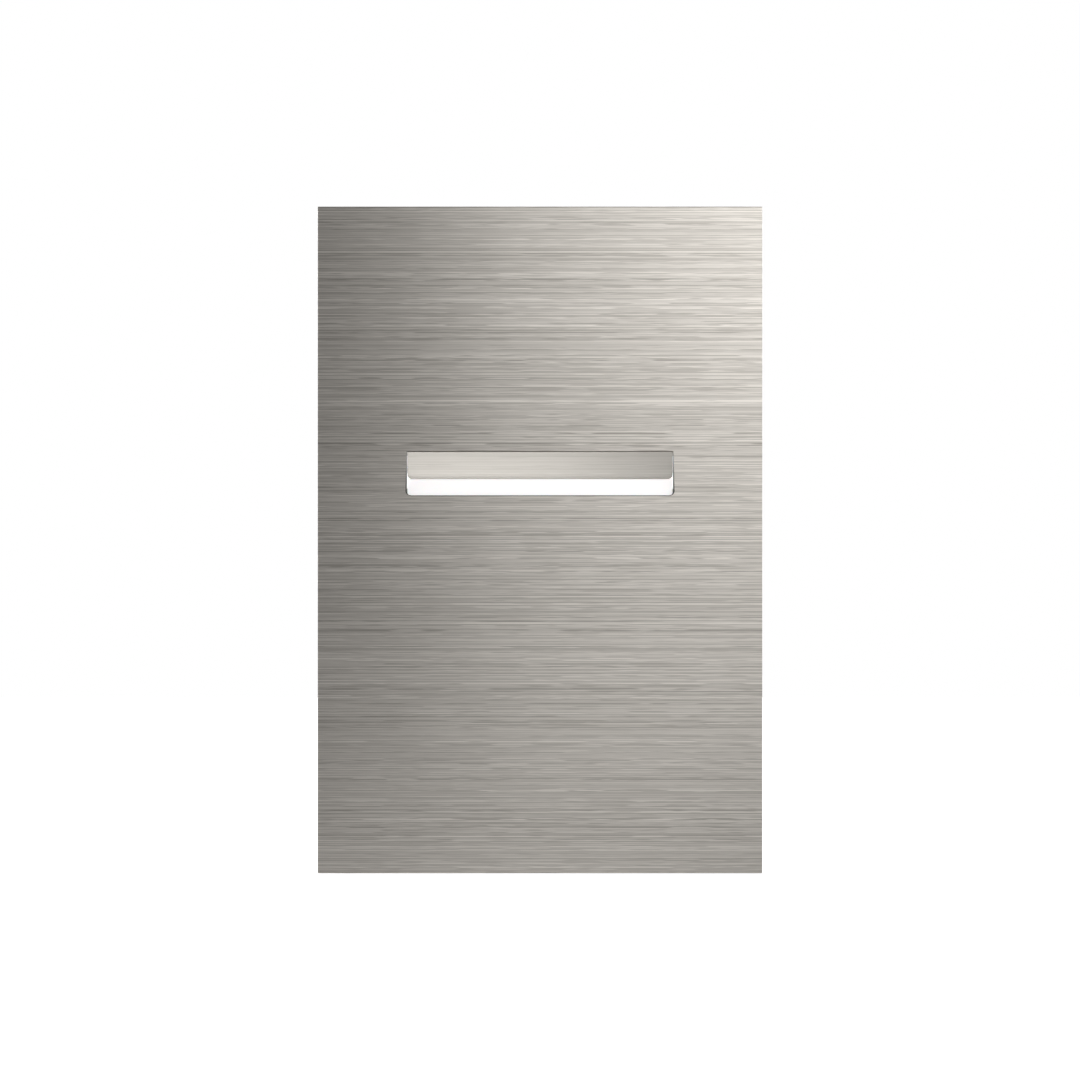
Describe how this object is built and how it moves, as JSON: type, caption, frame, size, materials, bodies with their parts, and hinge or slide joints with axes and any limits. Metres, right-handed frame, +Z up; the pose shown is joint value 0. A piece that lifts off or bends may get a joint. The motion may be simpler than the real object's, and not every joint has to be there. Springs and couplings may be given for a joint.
{
  "type": "rocker wall switch",
  "caption": "Wall switch with a tall screwless brushed steel face plate and a wide, low rocker set in a slot, its steel half sloping in above a white lit bar.",
  "frame": {"origin": "centre of the mounting plane, where the yoke's rear face meets the wall, on the face plate's centre", "axes": "+Y into the wall, +Z up the plate's length, +X to the right as seen by a user facing the plate"},
  "size_m": [0.1, 0.032, 0.15],
  "materials": {
    "brushed_steel": "fine horizontal brushing, slightly warm",
    "opal_white": "white translucent light bar",
    "black_nylon": "fine moulded texture",
    "zinc_steel": "bright zinc plating with a faint spangle",
    "nickel": "nickel plated magnet",
    "grey_moulding": "dark grey thermoset, matt",
    "white_moulding": "white nylon, fine moulded texture",
    "brass": "machined and stamped brass",
    "copper": "rolled copper alloy spring strip",
    "silver": "silver alloy contact",
    "board_green": "green solder mask on glass fibre",
    "red_lead": "red insulated wire"
  },
  "bodies": {
    "root": {"yoke": "zinc_steel", "cradle": "white_moulding", "base": "grey_moulding", "common_strip": "brass", "upper_strip": "brass", "lower_strip": "brass", "fixed_contact_upper": "silver", "fixed_contact_lower": "silver", "common_clamp": "brass", "upper_clamp": "brass", "lower_clamp": "brass", "common_screw": "zinc_steel", "upper_screw": "zinc_steel", "lower_screw": "zinc_steel", "base_screw_1": "zinc_steel", "base_screw_2": "zinc_steel", "base_screw_3": "zinc_steel", "base_screw_4": "zinc_steel", "cradle_screw_1": "zinc_steel", "cradle_screw_2": "zinc_steel", "cradle_screw_3": "zinc_steel", "cradle_screw_4": "zinc_steel", "box_screw_top": "zinc_steel", "box_screw_bottom": "zinc_steel", "lamp_board": "board_green", "lamp_1": "opal_white", "lamp_2": "opal_white", "lamp_3": "opal_white", "lamp_4": "opal_white", "lamp_resistor": "grey_moulding", "lamp_lead_upper": "red_lead", "lamp_lead_lower": "red_lead", "earth_terminal": "brass", "earth_screw": "zinc_steel", "earth_rivet": "zinc_steel", "earth_leaf": "copper"},
    "face_plate": {"face_plate": "brushed_steel", "backing_frame": "black_nylon", "plate_magnet_1": "nickel", "plate_magnet_2": "nickel", "plate_magnet_3": "nickel", "plate_magnet_4": "nickel"},
    "rocker": {"rocker_bar": "opal_white", "rocker_face": "brushed_steel", "plunger_spring": "zinc_steel"},
    "plunger": {"plunger": "white_moulding"},
    "contact_blade": {"contact_blade": "copper", "moving_contact_upper": "silver", "moving_contact_lower": "silver"}
  },
  "joints": [
    {"name": "plate_pull", "type": "slide", "parent": "root", "child": "face_plate", "axis": [0, -1, 0], "range_m": [0, 0.025]},
    {"name": "rocker_tilt", "type": "hinge", "parent": "root", "child": "rocker", "pos_m": [0, -0.0036, 0.015], "axis": [-1, 0, 0], "range_deg": [0, 14]},
    {"name": "plunger_slide", "type": "slide", "parent": "rocker", "child": "plunger", "axis": [0, -0.9925, -0.1219], "range_m": [0, 0.0015], "stiffness_N_per_m": 500, "springref_m": -0.002, "deforming": ["plunger_spring"]},
    {"name": "blade_tilt", "type": "hinge", "parent": "root", "child": "contact_blade", "pos_m": [0, 0.0115, 0.015], "axis": [1, 0, 0], "range_deg": [0, 16]}
  ],
  "couplings": [
    {"joint": "blade_tilt", "follows": "rocker_tilt", "ratio": 1.1429}
  ]
}
